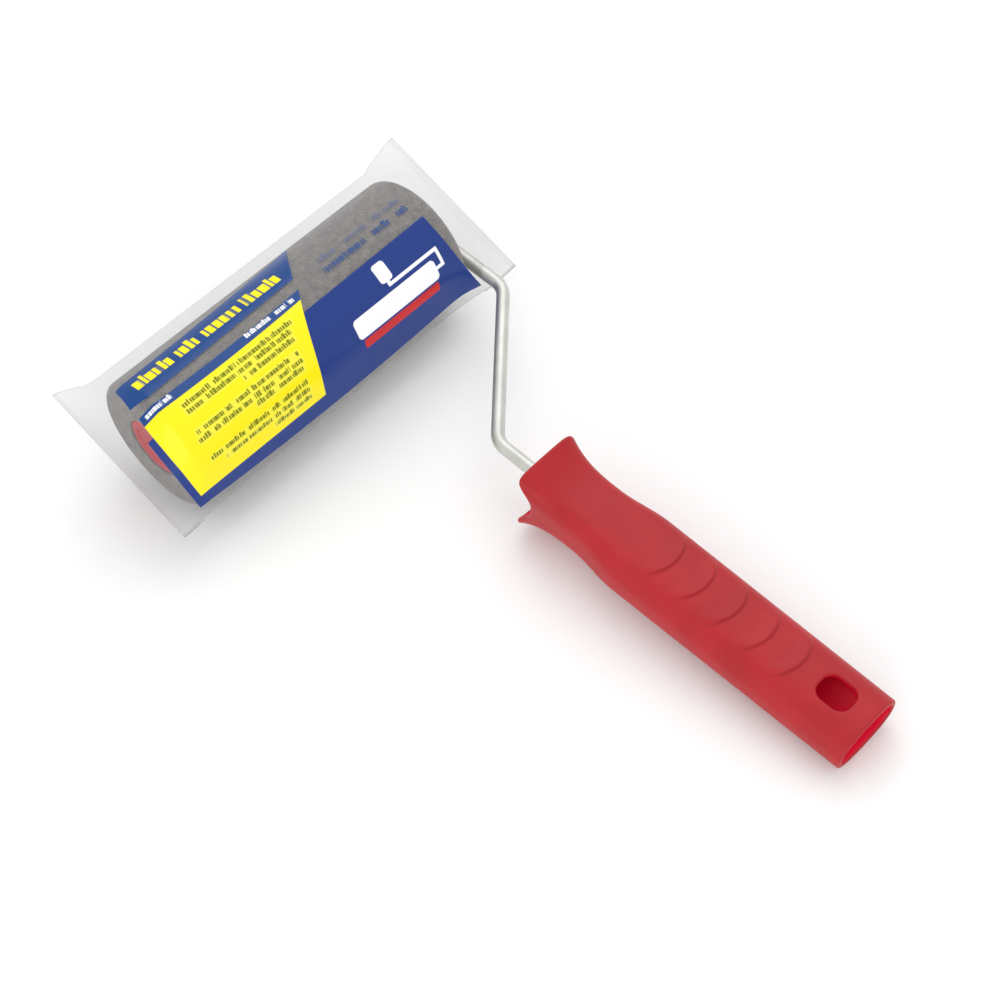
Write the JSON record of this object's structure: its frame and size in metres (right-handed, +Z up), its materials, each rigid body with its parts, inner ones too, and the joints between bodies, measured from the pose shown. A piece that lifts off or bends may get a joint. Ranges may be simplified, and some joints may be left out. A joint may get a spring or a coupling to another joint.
{
  "type": "paint roller",
  "caption": "Mini paint roller: a foam cover spins on a bent wire frame with a hollow moulded handle, still inside its clear printed film sleeve.",
  "frame": {"origin": "the middle of the footprint, on the table that the roller and the handle's rear rest on", "axes": "+X along the roller's axle towards the wire's side, -Y towards the handle's rear, +Z up"},
  "size_m": [0.113, 0.1915, 0.0383],
  "materials": {
    "foam": "open-cell grey foam",
    "core_plastic": "plain extruded tube",
    "bush_plastic": "natural moulded plastic",
    "red_plastic": "satin moulded polypropylene",
    "spring_steel": "plain spring steel",
    "zinc_wire": "bright zinc plate",
    "film": "clear thin film with blue and yellow print"
  },
  "bodies": {
    "frame": {"wire_frame": "zinc_wire", "handle": "red_plastic", "push_nut": "spring_steel", "stop_washer": "spring_steel", "film_sleeve": "film"},
    "roller": {"foam_cover": "foam", "core_tube": "core_plastic", "outer_bush": "bush_plastic", "inner_bush": "bush_plastic", "outer_end_cap": "red_plastic"}
  },
  "joints": [
    {"name": "roller_spin", "type": "hinge", "parent": "frame", "child": "roller", "pos_m": [-0.0015, 0.07398, 0.01871], "axis": [1, 0, 0], "continuous": true}
  ]
}
